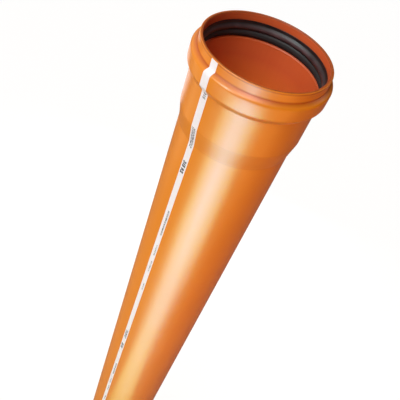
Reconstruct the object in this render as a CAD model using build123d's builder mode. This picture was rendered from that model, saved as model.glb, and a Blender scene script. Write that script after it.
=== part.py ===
from build123d import *
import math
import os

# Orange-brown PVC-U drain pipe with a blown socket and a rubber lip ring.
# It stands on its plain end: Z is the pipe axis, the plain end lies at Z = 0
# and the socket opens upwards. All sizes are in millimetres.

# Barrel
outside_diameter = 315.0
wall = 9.2
laying_length = 3000.0
chamfer_length = 17.0
chamfer_angle = 15.0

# Socket, measured down from the mouth
socket_clearance = 0.8
socket_wall = 8.3
socket_depth = 194.0
shoulder_length = 52.0
shoulder_blend = 35.0
mouth_outer_round = 2.5
mouth_inner_chamfer = 2.0

# Ring bead on the outside of the socket
lip_length = 25.5
bead_rise = 7.0
bead_height = 13.7
bead_land = 37.5
bead_foot = 17.0
bead_top_round = 8.0
bead_foot_round = 9.0

# Groove for the rubber ring on the inside of the bead
groove_entry_depth = 18.0
groove_entry_flare = 4.0
groove_top_depth = 34.0
groove_top_drop = 6.0
groove_wall = 8.0
groove_floor_depth = 62.0
groove_foot_depth = 73.0

# Rubber lip ring: each reach is how far a place stands into the socket bore,
# and each drop is how far it lies below the ring's front edge
ring_clearance = 0.3
ring_front_gap = 0.6
ring_root_reach = 0.5
ring_root_drop = 10.0
ring_front_reach = 5.3
ring_front_drop = 21.0
ring_crease_reach = 1.9
ring_crease_drop = 29.0
ring_rear_reach = 4.3
ring_rear_drop = 37.4
ring_heel_reach = 1.5
ring_heel_drop = 46.5
ring_tail_setback = 3.0
ring_tail_drop = 50.6

barrel_radius = outside_diameter / 2
bore_radius = barrel_radius - wall
chamfer_setback = chamfer_length * math.tan(math.radians(chamfer_angle))
socket_bore_radius = barrel_radius + socket_clearance
socket_radius = socket_bore_radius + socket_wall
bead_radius = socket_radius + bead_height
groove_radius = bead_radius - groove_wall
mouth = laying_length + socket_depth
shoulder_top = mouth - socket_depth
shoulder_foot = shoulder_top - shoulder_length
bead_top = mouth - lip_length - bead_rise
bead_bottom = bead_top - bead_land

os.makedirs("parts", exist_ok=True)


def near(sketch, radius, height):
    # The corner of a half section that lies closest to the given place.
    return sketch.vertices().sort_by_distance((radius, height))[0]


# The pipe: its outside and its inside are each one half section turned about
# the axis, and the inside is taken out of the outside.
with BuildPart() as pipe:
    with BuildSketch(Plane.XZ) as outside:
        with BuildLine():
            Polyline(
                (0, 0),
                (barrel_radius - chamfer_setback, 0),
                (barrel_radius, chamfer_length),
                (barrel_radius, shoulder_foot),
                (socket_radius, shoulder_top),
                (socket_radius, bead_bottom - bead_foot),
                (bead_radius, bead_bottom),
                (bead_radius, bead_top),
                (socket_radius, mouth - lip_length),
                (socket_radius, mouth),
                (0, mouth),
                close=True,
            )
        make_face()
        fillet(near(outside, barrel_radius, shoulder_foot), shoulder_blend)
        fillet(near(outside, socket_radius, shoulder_top), shoulder_blend)
        fillet(near(outside, bead_radius, bead_bottom), bead_foot_round)
        fillet(near(outside, bead_radius, bead_top), bead_top_round)
        fillet(near(outside, socket_radius, mouth), mouth_outer_round)
    revolve(axis=Axis.Z)
    with BuildSketch(Plane.XZ) as inside:
        with BuildLine():
            Polyline(
                (0, 0),
                (bore_radius, 0),
                (bore_radius, shoulder_foot),
                (socket_bore_radius, shoulder_top),
                (socket_bore_radius, mouth - groove_foot_depth),
                (groove_radius, mouth - groove_floor_depth),
                (groove_radius, mouth - groove_top_depth - groove_top_drop),
                (socket_bore_radius + groove_entry_flare, mouth - groove_top_depth),
                (socket_bore_radius, mouth - groove_entry_depth),
                (socket_bore_radius, mouth - mouth_inner_chamfer),
                (socket_bore_radius + mouth_inner_chamfer, mouth),
                (0, mouth),
                close=True,
            )
        make_face()
        fillet(near(inside, bore_radius, shoulder_foot), shoulder_blend)
        fillet(near(inside, socket_bore_radius, shoulder_top), shoulder_blend)
    revolve(axis=Axis.Z, mode=Mode.SUBTRACT)

# The rubber ring: its back follows the groove a little inside it, and its
# front has two rounded lips that reach into the socket.
ring_front_radius = socket_bore_radius - ring_clearance
ring_front = mouth - groove_entry_depth - ring_front_gap
ring_seat_radius = socket_bore_radius + groove_entry_flare - ring_clearance
ring_seat = mouth - groove_top_depth - ring_clearance
ring_back_radius = groove_radius - ring_clearance
ring_back_top = ring_seat - groove_top_drop
ring_back_bottom = mouth - groove_floor_depth + ring_clearance
ring_root = (socket_bore_radius - ring_root_reach, ring_front - ring_root_drop)
ring_crease = (socket_bore_radius - ring_crease_reach, ring_front - ring_crease_drop)
ring_heel = (socket_bore_radius - ring_heel_reach, ring_front - ring_heel_drop)
ring_tail = (socket_bore_radius + ring_tail_setback, ring_front - ring_tail_drop)
with BuildPart() as sealing_ring:
    with BuildSketch(Plane.XZ):
        with BuildLine():
            Polyline(
                ring_tail,
                (ring_back_radius, ring_back_bottom),
                (ring_back_radius, ring_back_top),
                (ring_seat_radius, ring_seat),
                (ring_front_radius, ring_front),
                ring_root,
            )
            ThreePointArc(
                ring_root,
                (socket_bore_radius - ring_front_reach, ring_front - ring_front_drop),
                ring_crease,
            )
            ThreePointArc(
                ring_crease,
                (socket_bore_radius - ring_rear_reach, ring_front - ring_rear_drop),
                ring_heel,
            )
            Line(ring_heel, ring_tail)
        make_face()
    revolve(axis=Axis.Z)

pipe.part.label = "pipe"
sealing_ring.part.label = "sealing_ring"
export_step(pipe.part, "parts/pipe.step")
export_step(sealing_ring.part, "parts/sealing_ring.step")
print("pipe volume", round(pipe.part.volume), "height", round(pipe.part.bounding_box().size.Z, 1))
print("ring volume", round(sealing_ring.part.volume))
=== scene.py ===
# %% [markdown]
# # A drain pipe with a push-fit socket
#
# The real object is one length of orange-brown plastic sewer pipe. It stands
# on its plain end and the camera looks down on its socket. A factory extrudes
# the tube, prints a white stripe along it, then heats one end and blows it
# out into a socket with a bead that holds a black rubber ring.
#
# Everything here is round, so nearly every piece is one half section turned
# about the pipe's axis. The CAD frame is loaded first.

# %% Load the CAD frame
import math

import bmesh
import bpy
from mathutils import Matrix, Quaternion, Vector
from mathutils.bvhtree import BVHTree


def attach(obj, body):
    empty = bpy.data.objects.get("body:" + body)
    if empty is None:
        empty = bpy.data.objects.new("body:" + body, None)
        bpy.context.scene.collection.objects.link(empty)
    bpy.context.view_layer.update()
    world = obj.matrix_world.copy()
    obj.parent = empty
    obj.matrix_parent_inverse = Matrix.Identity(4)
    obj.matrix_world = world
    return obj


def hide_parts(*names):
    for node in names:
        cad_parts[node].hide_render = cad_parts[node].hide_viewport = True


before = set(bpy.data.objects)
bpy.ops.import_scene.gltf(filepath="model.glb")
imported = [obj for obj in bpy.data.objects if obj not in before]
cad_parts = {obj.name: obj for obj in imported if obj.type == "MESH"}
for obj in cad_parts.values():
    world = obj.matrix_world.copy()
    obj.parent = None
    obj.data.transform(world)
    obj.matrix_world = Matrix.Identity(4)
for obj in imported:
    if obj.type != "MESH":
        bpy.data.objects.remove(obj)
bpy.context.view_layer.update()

# %% [markdown]
# ## Sizes
#
# The sizes are the same as in the CAD source, in millimetres, because that is
# how pipes are sold. One factor turns them into the metres that Blender uses.
# Heights inside the socket are told as depths below its mouth. Only the small
# rounds of the creases and of the groove's edges are the script's own: they
# are edge breaks that the solids leave sharp.

# %% Sizes of the pipe
MM = 0.001

barrel_radius = 157.5
wall = 9.2
laying_length = 3000.0
chamfer_length = 17.0
chamfer_angle = 15.0
chamfer_setback = chamfer_length * math.tan(math.radians(chamfer_angle))

socket_clearance = 0.8
socket_wall = 8.3
socket_depth = 194.0
shoulder_length = 52.0
shoulder_blend = 35.0
socket_bore_radius = barrel_radius + socket_clearance
socket_radius = socket_bore_radius + socket_wall
mouth_outer_round = 2.5
mouth_inner_chamfer = 2.0

lip_length = 25.5
bead_rise = 7.0
bead_height = 13.7
bead_land = 37.5
bead_foot = 17.0
bead_radius = socket_radius + bead_height
bead_top_round = 8.0
bead_foot_round = 9.0
crease_round = 1.5
foot_crease_round = 3.5

groove_wall = 8.0
groove_radius = bead_radius - groove_wall
groove_entry_depth = 18.0
groove_entry_flare = 4.0
groove_top_depth = 34.0
groove_top_drop = 6.0
groove_floor_depth = 62.0
groove_foot_depth = 73.0
groove_edge_round = 3.0

bore_radius = barrel_radius - wall
mouth = laying_length + socket_depth
shoulder_top = laying_length
shoulder_foot = shoulder_top - shoulder_length
bead_top = mouth - lip_length - bead_rise
bead_bottom = bead_top - bead_land
print("overall height", mouth, "mm, widest at the bead:", round(2 * bead_radius, 1), "mm")

# %% [markdown]
# ## Turning a half section
#
# A lathe makes a round thing from its half section, and so does Blender's
# spin. The half section is first one flat face with sharp corners. A bevel on
# single corner points then rounds each corner as the real one is rounded, and
# the spin drags the outline once round the axis. One step per degree keeps
# the rims round even in a close view.

# %% A helper that turns a rounded half section
TURN_STEPS = 360
CORNER_SEGMENTS = 6
SAME_PLACE = 0.000001
SHARP_DEGREES = 35


def half_section(bm, corners):
    """A closed outline from (radius, height, rounding) corners, in millimetres."""
    points = [Vector((radius * MM, 0, height * MM)) for radius, height, _ in corners]
    verts = [bm.verts.new(point) for point in points]
    bm.faces.new(verts)
    for i, vert in enumerate(verts):
        rounding = corners[i][2]
        if not rounding:
            continue
        before = points[i] - points[i - 1]
        after = points[(i + 1) % len(points)] - points[i]
        reach = rounding * MM * math.tan(before.angle(after) / 2)
        bmesh.ops.bevel(
            bm, geom=[vert], offset=reach, offset_type="OFFSET", segments=CORNER_SEGMENTS,
            profile=0.5, affect="VERTICES", clamp_overlap=True, material=-1,
        )
    bmesh.ops.delete(bm, geom=bm.faces[:], context="FACES_ONLY")


def turn(bm):
    """Spins the outline once round the axis into a closed shell."""
    bmesh.ops.spin(
        bm, geom=bm.verts[:] + bm.edges[:], cent=(0, 0, 0), axis=(0, 0, 1),
        dvec=(0, 0, 0), angle=math.tau, steps=TURN_STEPS, use_merge=True, use_duplicate=False,
    )
    bmesh.ops.remove_doubles(bm, verts=bm.verts[:], dist=SAME_PLACE)
    bmesh.ops.recalc_face_normals(bm, faces=bm.faces[:])


def finished(bm, name, material_list):
    """Turns a bmesh into an object of that name, smooth apart from its sharp edges."""
    mesh = bpy.data.meshes.new(name)
    bm.to_mesh(mesh)
    bm.free()
    mesh.shade_smooth()
    mesh.set_sharp_from_angle(angle=math.radians(SHARP_DEGREES))
    for material in material_list:
        mesh.materials.append(material)
    piece = bpy.data.objects.new(name, mesh)
    bpy.context.scene.collection.objects.link(piece)
    print(name, len(mesh.polygons), "faces")
    return piece


print("a full turn has", TURN_STEPS, "steps, and a rounded corner has", CORNER_SEGMENTS)

# %% [markdown]
# ## Node helpers
#
# Each finish is a small tree of procedural nodes. The helpers below only save
# typing: they add a node and link its inputs, squeeze a noise or a height
# between two values, mix two colours, and set the bump.

# %% Helpers for material nodes
def new_material(name):
    """An empty material with a Principled shader, and two functions that build its tree."""
    material = bpy.data.materials.new(name)
    material.use_nodes = True
    tree = material.node_tree
    tree.nodes.clear()
    output = tree.nodes.new("ShaderNodeOutputMaterial")
    shader = tree.nodes.new("ShaderNodeBsdfPrincipled")
    tree.links.new(shader.outputs[0], output.inputs["Surface"])

    def add(kind, inputs=None, **settings):
        node = tree.nodes.new("ShaderNode" + kind)
        for key, value in settings.items():
            setattr(node, key, value)
        for key, value in (inputs or {}).items():
            if isinstance(value, bpy.types.NodeSocket):
                tree.links.new(value, node.inputs[key])
            else:
                node.inputs[key].default_value = value
        return node

    def link(value, socket):
        tree.links.new(value, shader.inputs[socket])

    return material, shader, add, link


def noise(add, squeeze, scale, detail=3, roughness=0.5):
    """A noise between about 0.25 and 0.75, squeezed along X, Y and Z of the object."""
    place = add("TexCoord").outputs["Object"]
    place = add("Mapping", {"Vector": place, "Scale": squeeze}).outputs[0]
    return add(
        "TexNoise",
        {"Vector": place, "Scale": scale, "Detail": detail, "Roughness": roughness},
    ).outputs["Fac"]


def height_up(add):
    """The height above the floor, in metres."""
    return add("SeparateXYZ", {0: add("TexCoord").outputs["Object"]}).outputs["Z"]


def away_from(add, value, place):
    """How far a value is from a place, up or down."""
    away = add("Math", {0: value, 1: place}, operation="SUBTRACT").outputs[0]
    return add("Math", {0: away}, operation="ABSOLUTE").outputs[0]


def calculate(add, operation, first, second):
    """One sum, product or the like of two values."""
    return add("Math", {0: first, 1: second}, operation=operation).outputs[0]


def spread(add, value, low, high, to_low=0.0, to_high=1.0):
    """Maps a value from one range to another, and keeps it inside."""
    return add(
        "MapRange",
        {"Value": value, "From Min": low, "From Max": high, "To Min": to_low, "To Max": to_high},
    ).outputs["Result"]


def blend_colours(add, factor, first, second):
    """A mix of two colours by a factor."""
    return add("Mix", {0: factor, 6: first, 7: second}, data_type="RGBA").outputs[2]


def bumped(add, link, height, strength, distance=0.0002):
    """Gives the shader a bump from a height."""
    bump = add("Bump", {"Height": height, "Strength": strength, "Distance": distance})
    link(bump.outputs[0], "Normal")


def told(material):
    """Prints how large the material's tree is, and hands the material on."""
    print(material.name, len(material.node_tree.nodes), "nodes")
    return material


# %% [markdown]
# ## Orange-brown PVC
#
# Drain pipe is through-coloured, so the colour is the same inside and out. It
# could be one flat orange, but a real extruded surface has faint lengthwise
# draw lines, cloudy changes of tone and a soft gloss that is uneven where the
# pipe was handled. Noise that is squeezed round the pipe and stretched along
# it gives the draw lines, in colour, gloss and height at once.
#
# Shade is painted into the colour as brown bands at certain heights: right
# under the mouth, faintly over the lip, strongly in the crease above the bead,
# and faintly at both ends of the shoulder, where the light changes. Each band
# is told by its height, how far the painted shade reaches up and down, and how
# brown it is.

# %% Material of the pipe wall
PIPE_ORANGE = (0.80, 0.265, 0.014, 1)
PIPE_DEEP_ORANGE = (0.77, 0.246, 0.012, 1)
PIPE_PALE_ORANGE = (0.82, 0.30, 0.028, 1)
PAINTED_SHADE_BROWN = (0.48, 0.09, 0.006, 1)
PLASTIC_SPECULAR = 0.35
OUTER_ROUGHNESS = (0.29, 0.33)
SCUFF_ROUGHNESS = 0.10
# Each noise: how it is squeezed, and its scale
DRAW_LINES = ((40, 40, 0.5), 3)
CLOUDS = ((5, 5, 2), 1)
GRAIN = ((1, 1, 0.3), 700)
SCUFFS = ((9, 9, 14), 2.2)
# Each band of painted shade: height and reach in millimetres, and how brown
PAINTED_SHADE_BANDS = [
    (mouth - 3.5, 3.0, 0.8),
    (mouth - 12, 13, 0.15),
    (mouth - lip_length, 5.0, 0.95),
    (shoulder_top, 2.5, 0.12),
    (shoulder_foot, 2.5, 0.2),
]


def pvc_material(name, deep, plain, pale, roughness, shades=(), inner=None):
    """Extruded plastic in three tones, with painted shade bands or painted light deep down."""
    material, shader, add, link = new_material(name)
    draw_lines = noise(add, *DRAW_LINES, detail=4, roughness=0.6)
    clouds = noise(add, *CLOUDS, detail=4)
    grain = noise(add, *GRAIN, detail=2)
    scuffs = noise(add, *SCUFFS, detail=8, roughness=0.7)

    tone = blend_colours(add, spread(add, clouds, 0.3, 0.7), deep, plain)
    tone = blend_colours(add, spread(add, draw_lines, 0.35, 0.75, 0, 0.4), tone, plain)
    tone = blend_colours(add, spread(add, scuffs, 0.62, 0.78, 0, 0.3), tone, pale)
    height = height_up(add)
    # Painted shade: each band browns the tone around its height.
    for place, reach, strength in shades:
        away = away_from(add, height, place * MM)
        shade = spread(add, away, 0.0, reach * MM, strength, 0.0)
        tone = blend_colours(add, shade, tone, PAINTED_SHADE_BROWN)
    if inner:
        # Painted light: deep in the bore the tone turns to a paler orange.
        near_mouth = spread(add, height, (mouth - PAINTED_LIGHT_FULL_DEPTH) * MM, (mouth - PAINTED_LIGHT_START_DEPTH) * MM)
        tone = blend_colours(add, near_mouth, inner, tone)
    link(tone, "Base Color")

    gloss = spread(add, draw_lines, 0.3, 0.7, *roughness)
    worn = spread(add, scuffs, 0.55, 0.8, 0, SCUFF_ROUGHNESS)
    link(calculate(add, "ADD", gloss, worn), "Roughness")
    shader.inputs["Specular IOR Level"].default_value = PLASTIC_SPECULAR
    bumped(add, link, calculate(add, "ADD", draw_lines, grain), 0.05)
    return material


pvc = told(pvc_material(
    "pvc_orange_brown", PIPE_DEEP_ORANGE, PIPE_ORANGE, PIPE_PALE_ORANGE, OUTER_ROUGHNESS,
    shades=PAINTED_SHADE_BANDS,
))

# %% [markdown]
# ## The skin of the bore
#
# The bore cools against air and not against the cold calibrating sleeve, so
# its skin is duller. Its colour is painted deeper and redder than the outside,
# as painted shade inside the tube, and deep below the socket it turns to a
# paler orange, as painted light.
# It is the same tree with other colours, so that both skins change together.

# %% Material of the bore
# Painted shade: the bore's tones are redder than the outside's.
BORE_RED = (0.75, 0.144, 0.038, 1)
BORE_DEEP_RED = (0.70, 0.122, 0.032, 1)
BORE_PALE_RED = (0.78, 0.172, 0.050, 1)
BORE_PAINTED_LIGHT_ORANGE = (0.92, 0.225, 0.036, 1)
BORE_ROUGHNESS = (0.42, 0.50)
PAINTED_LIGHT_START_DEPTH = 120.0
PAINTED_LIGHT_FULL_DEPTH = 210.0
bore_skin = told(pvc_material(
    "pvc_bore", BORE_DEEP_RED, BORE_RED, BORE_PALE_RED, BORE_ROUGHNESS, inner=BORE_PAINTED_LIGHT_ORANGE,
))

# %% [markdown]
# ## Sawn plastic
#
# The mouth and the plain end are cut with a saw and a chamfering tool. Those
# narrow faces are rough, with fine rings round the axis, so they hardly shine.
# Their colour is painted browner and darker than the extruded skin, as painted
# shade, and the chamfer inside the mouth is painted darkest, as a dark line of
# painted shade along the mouth. They get a material of their own. Its rings
# come from the height and the distance from the axis, so they run round the
# pipe.

# %% Material of the cut faces
# Painted shade: the cut faces are darker and browner than the skin, and the chamfer inside the
# mouth is a dark red line.
SAWN_ORANGE = (0.52, 0.125, 0.022, 1)
SAWN_SHADE = (0.44, 0.090, 0.012, 1)
MOUTH_CHAMFER_PAINTED_SHADE = (0.36, 0.070, 0.012, 1)
SAWN_SPECULAR = 0.15
SAW_RING_SCALE = 2500
SAWN_PATCH_SCALE = 60
EDGE_BLUR = 0.5
# The plain end lies under the first of these heights in metres, the mouth over the second
FOOT_BELOW, MOUTH_ABOVE = 1.0, 2.0


def sawn_material():
    material, shader, add, link = new_material("pvc_sawn_face")
    place = add("TexCoord").outputs["Object"]
    flat = add("VectorMath", {0: place, 1: (1, 1, 0)}, operation="MULTIPLY").outputs[0]
    radius = add("VectorMath", {0: flat}, operation="LENGTH").outputs["Value"]
    height = height_up(add)
    across = calculate(add, "ADD", radius, height)
    rings = add(
        "TexNoise", {"W": across, "Scale": SAW_RING_SCALE, "Detail": 3}, noise_dimensions="1D",
    ).outputs["Fac"]
    patches = noise(add, (1, 1, 1), SAWN_PATCH_SCALE, detail=4)
    tone = calculate(add, "MULTIPLY", rings, patches)
    cut = blend_colours(add, spread(add, tone, 0.12, 0.4), SAWN_SHADE, SAWN_ORANGE)

    chamfer_edge, blur = (socket_bore_radius + mouth_inner_chamfer) * MM, EDGE_BLUR * MM
    outside_it = spread(add, radius, chamfer_edge - blur, chamfer_edge + blur)
    in_foot = spread(add, height, FOOT_BELOW, MOUTH_ABOVE, 1.0, 0.0)
    plain_cut = calculate(add, "MAXIMUM", outside_it, in_foot)
    link(blend_colours(add, plain_cut, MOUTH_CHAMFER_PAINTED_SHADE, cut), "Base Color")

    shader.inputs["Specular IOR Level"].default_value = SAWN_SPECULAR
    link(spread(add, patches, 0.3, 0.7, 0.45, 0.6), "Roughness")
    bumped(add, link, rings, 0.35, distance=0.0003)
    return material


sawn = told(sawn_material())

# %% [markdown]
# ## The pipe
#
# The CAD node has the right shape, but its mesh is long loose triangles that
# a bump and a stripe don't lie well on. This piece stands for it, with the
# same half section: chamfered plain end, barrel, shoulder, socket, bead and
# mouth lip on the outside, and bore, ring groove and seal entry on the
# inside. The long barrel edges are cut across first, so that no face is
# metres long.

# %% The half section of the pipe
pipe_corners = [
    (bore_radius, 0, 0),
    (barrel_radius - chamfer_setback, 0, 0.4),
    (barrel_radius, chamfer_length, 1.0),
    (barrel_radius, shoulder_foot, shoulder_blend),
    (socket_radius, shoulder_top, shoulder_blend),
    (socket_radius, bead_bottom - bead_foot, foot_crease_round),
    (bead_radius, bead_bottom, bead_foot_round),
    (bead_radius, bead_top, bead_top_round),
    (socket_radius, mouth - lip_length, crease_round),
    (socket_radius, mouth, mouth_outer_round),
    (socket_bore_radius + mouth_inner_chamfer, mouth, 0.5),
    (socket_bore_radius, mouth - mouth_inner_chamfer, 0.5),
    (socket_bore_radius, mouth - groove_entry_depth, 1.0),
    (socket_bore_radius + groove_entry_flare, mouth - groove_top_depth, 1.0),
    (groove_radius, mouth - groove_top_depth - groove_top_drop, groove_edge_round),
    (groove_radius, mouth - groove_floor_depth, groove_edge_round),
    (socket_bore_radius, mouth - groove_foot_depth, groove_edge_round),
    (socket_bore_radius, shoulder_top, shoulder_blend),
    (bore_radius, shoulder_foot, shoulder_blend),
]
BARREL_CUTS = 40
LONG_EDGE = 1.0

pipe_bm = bmesh.new()
half_section(pipe_bm, pipe_corners)
barrel_edges = [edge for edge in pipe_bm.edges if edge.calc_length() > LONG_EDGE]
bmesh.ops.subdivide_edges(pipe_bm, edges=barrel_edges, cuts=BARREL_CUTS)
print("points round the half section:", len(pipe_bm.verts))

# %% [markdown]
# The stripe is printed on the outside, so the outer line of that half section
# is kept for it. The line starts on the barrel just above the chamfer. From
# there the next point is always the higher neighbour, up to the rounded edge
# of the mouth, where the print ends.

# %% Keep the outer line for the stripe
PRINTED_TOP = mouth - mouth_outer_round * 0.6
HARDLY_IN = 0.01

outer_line = bmesh.new()
here = min(
    (vert for vert in pipe_bm.verts if vert.co.x > (barrel_radius - HARDLY_IN) * MM),
    key=lambda vert: vert.co.z,
)
printed = outer_line.verts.new(here.co)
while True:
    here = max((edge.other_vert(here) for edge in here.link_edges), key=lambda vert: vert.co.z)
    if here.co.z > PRINTED_TOP * MM:
        break
    above = outer_line.verts.new(here.co)
    outer_line.edges.new([printed, above])
    printed = above
print("points up the outside:", len(outer_line.verts))

# %% [markdown]
# Now the half section is spun. Faces are sorted by the height and the radius
# of their middle: the cut ends get the sawn finish, and everything else that
# looks at the axis gets the finish of the bore. A search tree of the finished
# wall is kept, because the ink is laid on it later.

# %% Spin the pipe and sort its faces
SAWN_INDEX = 1
BORE_INDEX = 2
LOOKS_UP = 0.95

turn(pipe_bm)
open_edges = sum(1 for edge in pipe_bm.edges if not edge.is_manifold)
print("pipe edges that aren't closed:", open_edges)

for face in pipe_bm.faces:
    centre = face.calc_center_median()
    radius = math.hypot(centre.x, centre.y)
    inward = face.normal.x * centre.x + face.normal.y * centre.y < 0
    in_foot = centre.z < chamfer_length * MM and radius > bore_radius * MM and not inward
    at_mouth = centre.z > (mouth - mouth_inner_chamfer) * MM
    if in_foot or at_mouth and (inward or face.normal.z > LOOKS_UP):
        face.material_index = SAWN_INDEX
    elif inward:
        face.material_index = BORE_INDEX

wall_tree = BVHTree.FromBMesh(pipe_bm)

# %% [markdown]
# ## The white stripe
#
# The stripe was printed on the straight tube before its end was blown out, so
# it runs from the plain end right up to the mouth and widens with the socket.
# There it also drifts a little to the side, as the soft end turned while it
# was blown. A texture could draw it, but its edge would be soft in a close
# view. Here the kept outer line is spun through the few degrees that the
# stripe covers, and the sheet gets the thickness of a film of paint, half of
# it sunk into the wall.

# %% Model the stripe
STRIPE_ANGLE = 7.4
STRIPE_MIDDLE = -90.0
STRIPE_STEPS = 8
STRIPE_THICKNESS = 0.3
STRIPE_DRIFT = 1.8
STRIPE_DRIFT_LENGTH = 200.0


def drift(depth):
    """How far the print has drifted at a depth below the mouth in millimetres, in radians."""
    return math.radians(STRIPE_DRIFT * min(1.0, depth / STRIPE_DRIFT_LENGTH))


stripe_bm = outer_line
bmesh.ops.rotate(
    stripe_bm, verts=stripe_bm.verts[:], cent=(0, 0, 0),
    matrix=Matrix.Rotation(math.radians(STRIPE_MIDDLE - STRIPE_ANGLE / 2), 3, "Z"),
)
bmesh.ops.spin(
    stripe_bm, geom=stripe_bm.verts[:] + stripe_bm.edges[:], cent=(0, 0, 0), axis=(0, 0, 1),
    dvec=(0, 0, 0), angle=math.radians(STRIPE_ANGLE), steps=STRIPE_STEPS, use_merge=False,
)
bmesh.ops.remove_doubles(stripe_bm, verts=stripe_bm.verts[:], dist=SAME_PLACE)
bmesh.ops.recalc_face_normals(stripe_bm, faces=stripe_bm.faces[:])
half_way = laying_length * MM / 2
middle = min(stripe_bm.faces, key=lambda face: abs(face.calc_center_median().z - half_way))
if middle.normal.dot(middle.calc_center_median() * Vector((1, 1, 0))) < 0:
    bmesh.ops.reverse_faces(stripe_bm, faces=stripe_bm.faces[:])
for vert in stripe_bm.verts:
    vert.co += vert.normal * STRIPE_THICKNESS / 2 * MM
    vert.co.rotate(Matrix.Rotation(drift(mouth - vert.co.z / MM), 3, "Z"))
bmesh.ops.solidify(stripe_bm, geom=stripe_bm.faces[:], thickness=STRIPE_THICKNESS * MM)
bmesh.ops.recalc_face_normals(stripe_bm, faces=stripe_bm.faces[:])
print("stripe faces", len(stripe_bm.faces))

# %% [markdown]
# The paint is thin white ink on a glossy wall, so it is nearly as glossy as
# the plastic, a little greyer where it is thin, and scratched off in small
# flecks that show the orange. One noise makes the thin places, and a finer
# one with a hard threshold makes the flecks.

# %% Material of the stripe
STRIPE_WHITE = (0.90, 0.91, 0.99, 1)
STRIPE_THIN = (0.86, 0.86, 0.92, 1)
THIN_PLACES = ((70, 70, 6), 3)
FLECKS = ((1, 1, 0.5), 260)


def stripe_material():
    material, shader, add, link = new_material("white_print")
    thin = noise(add, *THIN_PLACES, detail=4)
    flecks = noise(add, *FLECKS, detail=3, roughness=0.7)
    tone = blend_colours(add, spread(add, thin, 0.45, 0.75, 0, 0.6), STRIPE_WHITE, STRIPE_THIN)
    worn = spread(add, flecks, 0.70, 0.74)
    link(blend_colours(add, worn, tone, PIPE_ORANGE), "Base Color")
    link(spread(add, thin, 0.3, 0.7, 0.3, 0.42), "Roughness")
    bumped(add, link, thin, 0.08)
    return material


white_print = told(stripe_material())

# %% [markdown]
# Each piece rides on the pipe's only body, "root". The wall stands for the
# CAD node, which stays as the shape that collides. The stripe is paint on it,
# so it stands for no node.

# %% Place the pipe and its stripe
pipe = finished(pipe_bm, "pipe_wall", [pvc, sawn, bore_skin])
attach(pipe, "root")
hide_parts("pipe")

stripe = finished(stripe_bm, "print_stripe", [white_print])
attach(stripe, "root")

# %% [markdown]
# ## Numbers on the stripe
#
# Such pipes carry small ink marks along the stripe, and the same print comes
# back about every metre. Only plain numbers are set here: the outside
# diameter, the wall, the length and the like. Some lines are small and some
# are bold. Each line is a text turned into a mesh. It is laid along the pipe,
# and every point is then moved onto the wall by a ray that is shot at the
# axis, so the digits bend with it.

# %% Helpers that lay a line of digits on the wall
INK_LIFT = 0.3
INK_THICKNESS = 0.1
DIGIT_SHARE = 0.7
CURVE_STEPS = 2
RAY_START = 0.3


def number_mesh(text, height, bolder):
    """The mesh of a line of digits, in millimetres, that starts at the origin."""
    curve = bpy.data.curves.new("digits", "FONT")
    curve.body = text
    curve.size = height / DIGIT_SHARE
    curve.extrude = INK_THICKNESS
    curve.offset = bolder
    curve.resolution_u = CURVE_STEPS
    holder = bpy.data.objects.new("digits", curve)
    bpy.context.scene.collection.objects.link(holder)
    evaluated = holder.evaluated_get(bpy.context.evaluated_depsgraph_get())
    mesh = bpy.data.meshes.new_from_object(evaluated)
    bpy.data.objects.remove(holder)
    return mesh


def on_the_wall(angle, height, lift):
    """The point on the pipe's outside at that angle from -Y and that height."""
    away = Vector((math.sin(angle), -math.cos(angle), 0))
    hit = wall_tree.ray_cast(away * RAY_START + Vector((0, 0, height * MM)), -away)
    return hit[0] + away * lift * MM


def add_line(bm, start, shift, height, bolder, text):
    """Lays one line of digits down the pipe, from a start below the mouth."""
    mesh = number_mesh(text, height, bolder)
    for vert in mesh.vertices:
        depth = start + vert.co.x
        across = vert.co.y - height / 2 + shift
        angle = across / barrel_radius + drift(depth)
        vert.co = on_the_wall(angle, mouth - depth, INK_LIFT + vert.co.z)
    bm.from_mesh(mesh)
    bpy.data.meshes.remove(mesh)


ink_from, ink_to = INK_LIFT - INK_THICKNESS, INK_LIFT + INK_THICKNESS
print("ink from", round(ink_from, 2), "to", round(ink_to, 2), "mm above the wall")

# %% [markdown]
# One set of lines is listed once, with its places counted from the start of
# the print, and the loop repeats it down the pipe. A line that would run into
# the chamfer is left out. One short line stands alone on the socket.

# %% Model the numbers
FIRST_PRINT = 192.0
PRINT_PITCH = 1100.0
LAST_MARK = 2900.0
LONGEST_LINE = 160
# Each line: start, shift to the side, digit height and how much bolder, in mm
PRINT_LINES = [
    (0, 2.9, 4.4, 0.2, "315 9.2 34 3000 315 9.2 34"),
    (0, -2.9, 4.4, 0.2, "2 5 12 06 40 315 3000 9.2"),
    (120, 0.0, 10.5, 1.0, "315 9.2"),
    (326, 3.2, 5.0, 0.3, "315 9.2 34 3000 315 9.2 34 3000 315 9.2"),
    (498, 3.0, 4.4, 0.05, "2 5 12 06 40 315 3000"),
    (590, 3.0, 4.4, 0.05, "315 9.2 34 3000 315 9.2"),
    (730, 3.0, 4.4, 0.05, "12 06 40 315 9.2"),
]
SOCKET_LINE = (-106, 1.5, 8.0, 0.3, "315")

marks_bm = bmesh.new()
offset, *line = SOCKET_LINE
add_line(marks_bm, FIRST_PRINT + offset, *line)
print_start = FIRST_PRINT
while print_start < LAST_MARK:
    for offset, *line in PRINT_LINES:
        if print_start + offset + LONGEST_LINE < LAST_MARK:
            add_line(marks_bm, print_start + offset, *line)
    print_start += PRINT_PITCH
print("ink faces", len(marks_bm.faces))

# %% [markdown]
# Ink from a jet printer is nearly black where it is fresh and dark grey where
# it was rubbed, and there it is duller too. One fine noise gives both.

# %% Material of the ink, and place the numbers
INK = (0.008, 0.008, 0.015, 1)
INK_WORN = (0.06, 0.06, 0.09, 1)
RUBBED_PLACES = ((1, 1, 1), 220)


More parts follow.
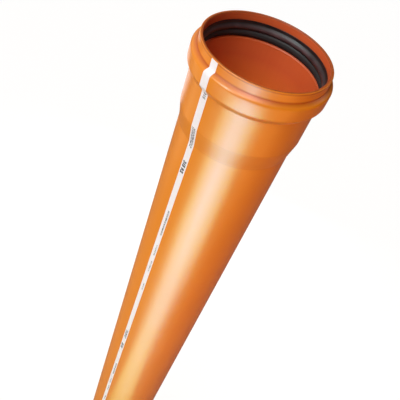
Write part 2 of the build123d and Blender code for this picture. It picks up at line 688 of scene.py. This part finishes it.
def ink_material():
    material, shader, add, link = new_material("dark_ink")
    patches = noise(add, *RUBBED_PLACES, detail=4)
    link(blend_colours(add, spread(add, patches, 0.4, 0.7), INK, INK_WORN), "Base Color")
    link(spread(add, patches, 0.3, 0.7, 0.35, 0.55), "Roughness")
    return material


marks = finished(marks_bm, "print_numbers", [told(ink_material())])
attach(marks, "root")

# %% [markdown]
# ## The rubber ring
#
# The ring is a moulded lip seal. Its back fills the groove, a little inside
# it, and its front has two rounded lips with a crease between them. It is
# turned like the pipe, and the corners of its half section are rounded so
# much that they become lips.

# %% Model the rubber ring
ring_clearance = 0.3
ring_front_gap = 0.6
ring_front = mouth - groove_entry_depth - ring_front_gap
ring_seat = mouth - groove_top_depth - ring_clearance
ring_back_radius = groove_radius - ring_clearance
ring_back_bottom = mouth - groove_floor_depth + ring_clearance
# Each corner of the front, from its edge down: how far it stands into the
# socket's bore, how far it lies below the front edge, and its rounding
RING_FRONT = [
    (0.3, 0.0, 0.5),
    (0.5, 10.0, 2.0),
    (5.4, 17.9, 10.0),
    (5.3, 23.4, 8.0),
    (1.9, 29.0, 0.6),
    (4.4, 33.4, 10.0),
    (4.6, 40.9, 8.0),
    (1.5, 46.5, 0.8),
    (-3.0, 50.6, 0.8),
]
ring_corners = [
    (ring_back_radius, ring_back_bottom, groove_edge_round),
    (ring_back_radius, ring_seat - groove_top_drop, groove_edge_round),
    (socket_bore_radius + groove_entry_flare - ring_clearance, ring_seat, 1.0),
]
for reach, drop, rounding in RING_FRONT:
    ring_corners.append((socket_bore_radius - reach, ring_front - drop, rounding))
ring_bm = bmesh.new()
half_section(ring_bm, ring_corners)
turn(ring_bm)
print("ring edges that aren't closed:", sum(1 for edge in ring_bm.edges if not edge.is_manifold))

# %% [markdown]
# Rubber looks black, but it is a very dark grey with a dull sheen, and a new
# ring still has a little of the powder or grease that it was packed with. A
# paler, slightly purple band is painted along the front lip, in patches: the
# patches are powder, and the band is a painted highlight. The rear lip gets
# little of it and stays black, and it is rougher and so catches less light.
# Both come from the height, mixed with a noise.

# %% Material of the rubber, and place the ring
RUBBER_BLACK = (0.008, 0.006, 0.006, 1)
RUBBER_POWDER_AND_SHEEN = (0.118, 0.068, 0.078, 1)
RUBBER_SPECULAR = 0.35
PAINTED_SHEEN_DEPTH = 38.0
PAINTED_SHEEN_REACH = 9.0
PAINTED_SHEEN_CORE = 0.2
SHINY_DEPTH = 46.0
DULL_DEPTH = 52.0
DULL_ROUGHNESS = 0.3
POWDER = ((1, 1, 2), 30)
MOULD_GRAIN = ((1, 1, 1), 1200)


def rubber_material():
    material, shader, add, link = new_material("black_rubber")
    patches = noise(add, *POWDER, detail=4)
    fine = noise(add, *MOULD_GRAIN, detail=2)
    height = height_up(add)
    # Painted highlight: a paler band along the front lip, broken into powder patches.
    away = away_from(add, height, (mouth - PAINTED_SHEEN_DEPTH) * MM)
    band = spread(add, away, PAINTED_SHEEN_CORE * PAINTED_SHEEN_REACH * MM, PAINTED_SHEEN_REACH * MM, 1.0, 0.15)
    powder_and_sheen = calculate(add, "MULTIPLY", band, spread(add, patches, 0.3, 0.7, 0.4, 0.9))
    link(blend_colours(add, powder_and_sheen, RUBBER_BLACK, RUBBER_POWDER_AND_SHEEN), "Base Color")
    deep, shallow = (mouth - DULL_DEPTH) * MM, (mouth - SHINY_DEPTH) * MM
    dull = spread(add, height, deep, shallow, DULL_ROUGHNESS, 0.0)
    uneven = spread(add, patches, 0.3, 0.7, 0.38, 0.55)
    link(calculate(add, "ADD", dull, uneven), "Roughness")
    bumped(add, link, fine, 0.15)
    shader.inputs["Specular IOR Level"].default_value = RUBBER_SPECULAR
    return material


ring = finished(ring_bm, "rubber_ring", [told(rubber_material())])
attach(ring, "root")
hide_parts("sealing_ring")

# %% [markdown]
# ## The floor
#
# The floor is a wide plane, as the white paper of a studio is. To the camera
# it is nearly all white, and the small rest keeps the pipe's shadow. To the
# pipe it is darker, so that the wall isn't lit from below and its lower edges
# mirror little of it.

# %% Floor
FLOOR_SIZE = 60.0
FLOOR_BOUNCE = 0.16
FLOOR_PALE = 0.9
FLOOR_ROUGHNESS = 0.9
FLOOR_GLOW = 1.05
FLOOR_GLOW_SHARE = 0.85


def floor_material():
    material, shader, add, link = new_material("pale_floor")
    shader.inputs["Roughness"].default_value = FLOOR_ROUGHNESS
    seen = add("LightPath").outputs["Is Camera Ray"]
    link(spread(add, seen, 0, 1, FLOOR_BOUNCE, FLOOR_PALE), "Base Color")
    white = add("Emission", {"Color": (1, 1, 1, 1), "Strength": FLOOR_GLOW})
    shown = calculate(add, "MULTIPLY", seen, FLOOR_GLOW_SHARE)
    mixed = add("MixShader", {0: shown, 1: shader.outputs[0], 2: white.outputs[0]})
    output = material.node_tree.nodes["Material Output"]
    material.node_tree.links.new(mixed.outputs[0], output.inputs["Surface"])
    return material


floor_bm = bmesh.new()
bmesh.ops.create_grid(floor_bm, x_segments=1, y_segments=1, size=FLOOR_SIZE / 2)
floor = finished(floor_bm, "floor", [told(floor_material())])

# %% [markdown]
# ## The sky
#
# A studio tent gives light from all round, but more from where its lamps are.
# The world does the same with a few wide glows: each is strongest in its own
# direction and fades evenly away from it. The camera sees plain white there.

# %% Sky
# Each glow: azimuth and elevation in degrees, how narrow it is, and its light
SKY_GLOWS = [
    (-80, 45, 16, (4.6, 4.25, 4.0)),
    (-110, 50, 7, (1.45, 1.35, 1.2)),
    (-180, 22, 6, (1.15, 1.1, 1.05)),
    (-54, 58, 40, (1.5, 1.4, 1.25)),
]


def toward(azimuth, elevation=0):
    """The unit vector that points that way from the pipe."""
    turned, raised = math.radians(azimuth), math.radians(elevation)
    flat = math.cos(raised)
    return Vector((math.cos(turned) * flat, math.sin(turned) * flat, math.sin(raised)))


def sky_world():
    world = bpy.data.worlds.new("studio")
    world.use_nodes = True
    tree = world.node_tree

    def add(kind, operation, *inputs):
        node = tree.nodes.new("ShaderNode" + kind)
        node.operation = operation
        for socket, value in zip(node.inputs, inputs):
            if isinstance(value, bpy.types.NodeSocket):
                tree.links.new(value, socket)
            else:
                socket.default_value = value
        return node

    looked = tree.nodes.new("ShaderNodeTexCoord").outputs["Generated"]
    total = None
    for azimuth, elevation, narrow, light in SKY_GLOWS:
        facing = add("VectorMath", "DOT_PRODUCT", looked, toward(azimuth, elevation))
        facing = add("Math", "MAXIMUM", facing.outputs["Value"], 0.0)
        strength = add("Math", "POWER", facing.outputs[0], narrow)
        glow = add("VectorMath", "SCALE", light)
        tree.links.new(strength.outputs[0], glow.inputs["Scale"])
        if total:
            glow = add("VectorMath", "ADD", total, glow.outputs[0])
        total = glow.outputs[0]
    background = tree.nodes["Background"]
    tree.links.new(total, background.inputs["Color"])
    white = tree.nodes.new("ShaderNodeBackground")
    white.inputs["Color"].default_value = (1, 1, 1, 1)
    mixed = tree.nodes.new("ShaderNodeMixShader")
    tree.links.new(tree.nodes.new("ShaderNodeLightPath").outputs["Is Camera Ray"], mixed.inputs[0])
    tree.links.new(background.outputs[0], mixed.inputs[1])
    tree.links.new(white.outputs[0], mixed.inputs[2])
    tree.links.new(mixed.outputs[0], tree.nodes["World Output"].inputs["Surface"])
    return world


bpy.context.scene.world = sky_world()
print("glows in the sky:", len(SKY_GLOWS))

# %% [markdown]
# ## Cards for the highlights
#
# A photographer draws the highlights of a glossy tube with white cards. Here
# a card is a lamp that shows only in reflections and lights nothing else.
#
# The long highlight down the barrel mirrors a slope in front of the pipe that
# rises away from it. It could be one card, but the real highlight gets wider
# and brighter down the barrel, so the slope is made of strips, each with a
# brighter middle. The orange already holds nearly all the red that a picture
# can show. A white card would push the red over that and turn the sides of
# the highlight pink, so the cards carry little red.

# %% The strips that draw the long highlight
CARD_START = (0.50, 0.07)
CARD_SLOPE = math.radians(35.5)
CARD_STEP = 0.56
CARD_MIDDLE = 0.5
# Each strip: azimuth, width, and the light of its whole width and of its middle
CARD_STRIPS = [
    (-60, 0.7, (1.2, 2.4, 0.4), (2.5, 8, 9.5)),
    (-57, 1.1, (1.2, 2.8, 0.5), (3, 12, 20)),
    (-54, 2.1, (3.0, 8.5, 2.0), (4, 18, 42)),
    (-54, 2.6, (3.0, 9.0, 3.0), (2.5, 8, 20)),
    (-54, 3.0, (4.5, 11.0, 5.0), (4, 12, 28)),
]


def soft_box(name, azimuth, reach, height, aim, size, light, shines=True, mirrored=True):
    """A rectangular lamp, round the pipe by an azimuth and out by a reach.

    It is a card if it doesn't shine, and it leaves no highlight if it isn't mirrored.
    """
    brightness = max(light)
    lamp = bpy.data.lights.new(name, "AREA")
    lamp.shape = "RECTANGLE"
    lamp.size, lamp.size_y = size
    lamp.energy = brightness * math.pi * size[0] * size[1]
    lamp.color = [part / brightness for part in light]
    holder = bpy.data.objects.new(name, lamp)
    place = toward(azimuth) * reach + Vector((0, 0, height))
    holder.location = place
    holder.rotation_euler = (Vector(aim) - place).to_track_quat("-Z", "Y").to_euler()
    holder.visible_camera = False
    holder.visible_diffuse = shines
    holder.visible_glossy = mirrored
    bpy.context.scene.collection.objects.link(holder)


for i, (azimuth, width, wide_light, middle_light) in enumerate(CARD_STRIPS):
    along = (i + 0.5) * CARD_STEP
    reach = CARD_START[0] + along * math.cos(CARD_SLOPE)
    height = CARD_START[1] + along * math.sin(CARD_SLOPE)
    aim = toward(azimuth) * (reach - math.sin(CARD_SLOPE))
    aim.z = height + math.cos(CARD_SLOPE)
    for part, share, light in (("wide", 1, wide_light), ("middle", CARD_MIDDLE, middle_light)):
        soft_box(
            f"low_card_{part}_{i + 1}", azimuth, reach, height, aim,
            (width * share, CARD_STEP), light, shines=False,
        )
print("strips up the slope:", len(CARD_STRIPS))

# %% [markdown]
# ## Soft boxes and small cards
#
# Four boxes give the plain light: one in front, a warm one on the right, one
# on the left, and a broad one behind, kept out of the reflections. The small
# cards each draw one highlight on the slopes and rounds of the socket's bead
# and lip: one from above, two from the upper left, one behind on each side
# for the edges, and a low one in front that bridges the gap between them.

# %% Boxes and cards
# Each one: azimuth, reach, height, the point it faces, its size and its light
SOFT_BOXES = {
    "front_box": (-90, 3.0, 2.2, (0, 0, 2.4), (2.0, 2.0), (2.1, 1.92, 1.85)),
    "right_box": (0, 2.6, 2.0, (0, 0, 2.3), (1.5, 2.0), (4.0, 1.65, 0.3)),
    "left_box": (-150, 3.0, 1.6, (0, 0, 2.0), (1.5, 2.5), (1.7, 1.2, 0.7)),
}
REAR_BOX = (126, 3.0, 1.6, (0, 0, 1.5), (2.5, 2.5), (2.6, 2.35, 2.2))
SMALL_CARDS = {
    "top_card": (-54, 0.73, 6.1, (0, 0, 3.2), (1.0, 1.0), (15, 16, 18)),
    "streak_card": (-99, 2.0, 5.3, (0, 0, 3.1), (0.7, 0.7), (34, 50, 52)),
    "slope_card": (-171.5, 0.95, 6.0, (0, 0, 3.1), (0.7, 0.7), (7, 13, 13)),
    "edge_card": (160, 2.0, 1.95, (0, 0, 3.1), (1.1, 0.7), (1.6, 1.6, 1.6)),
    "back_card": (82, 2.0, 4.3, (0.17, 0.03, 3.15), (1.0, 0.8), (1.8, 1.5, 1.3)),
    "bridge_card": (-54, 3.0, 2.55, (0, 0, 3.15), (0.8, 1.6), (4, 11, 12)),
}
for name, box in SOFT_BOXES.items():
    soft_box(name, *box)
soft_box("rear_box", *REAR_BOX, mirrored=False)
for name, card in SMALL_CARDS.items():
    soft_box(name, *card, shines=False)
print("boxes:", len(SOFT_BOXES) + 1, "small cards:", len(SMALL_CARDS))

# %% [markdown]
# ## The camera
#
# The camera stands just above the mouth and looks steeply down the pipe, so
# that the socket is large and the barrel runs away from it. It is rolled, so
# the pipe leans across the picture. Its place, direction, roll and lens were
# worked out from the ovals of the mouth and the bead and from both sides of
# the barrel, which is surer than moving it by eye.

# %% Camera
CAMERA_PLACE = (0.6355, -0.8811, 3.7640)
CAMERA_FORWARD = Vector((-0.41318, 0.55553, -0.72157))
CAMERA_ROLL = 22.084
LENS = 44.61
SENSOR_WIDTH = 36
NEAREST, FARTHEST = 0.05, 100

camera = bpy.data.objects.new("camera", bpy.data.cameras.new("camera"))
bpy.context.scene.collection.objects.link(camera)
camera.data.sensor_width = SENSOR_WIDTH
camera.data.lens = LENS
camera.data.clip_start = NEAREST
camera.data.clip_end = FARTHEST
camera.location = CAMERA_PLACE
level = CAMERA_FORWARD.to_track_quat("-Z", "Y")
roll = Quaternion((0, 0, 1), math.radians(CAMERA_ROLL))
camera.rotation_mode = "QUATERNION"
camera.rotation_quaternion = level @ roll
bpy.context.scene.camera = camera
bpy.context.scene.view_settings.view_transform = "Standard"
print("camera above the mouth, in metres:", round(CAMERA_PLACE[2] - mouth * MM, 3))
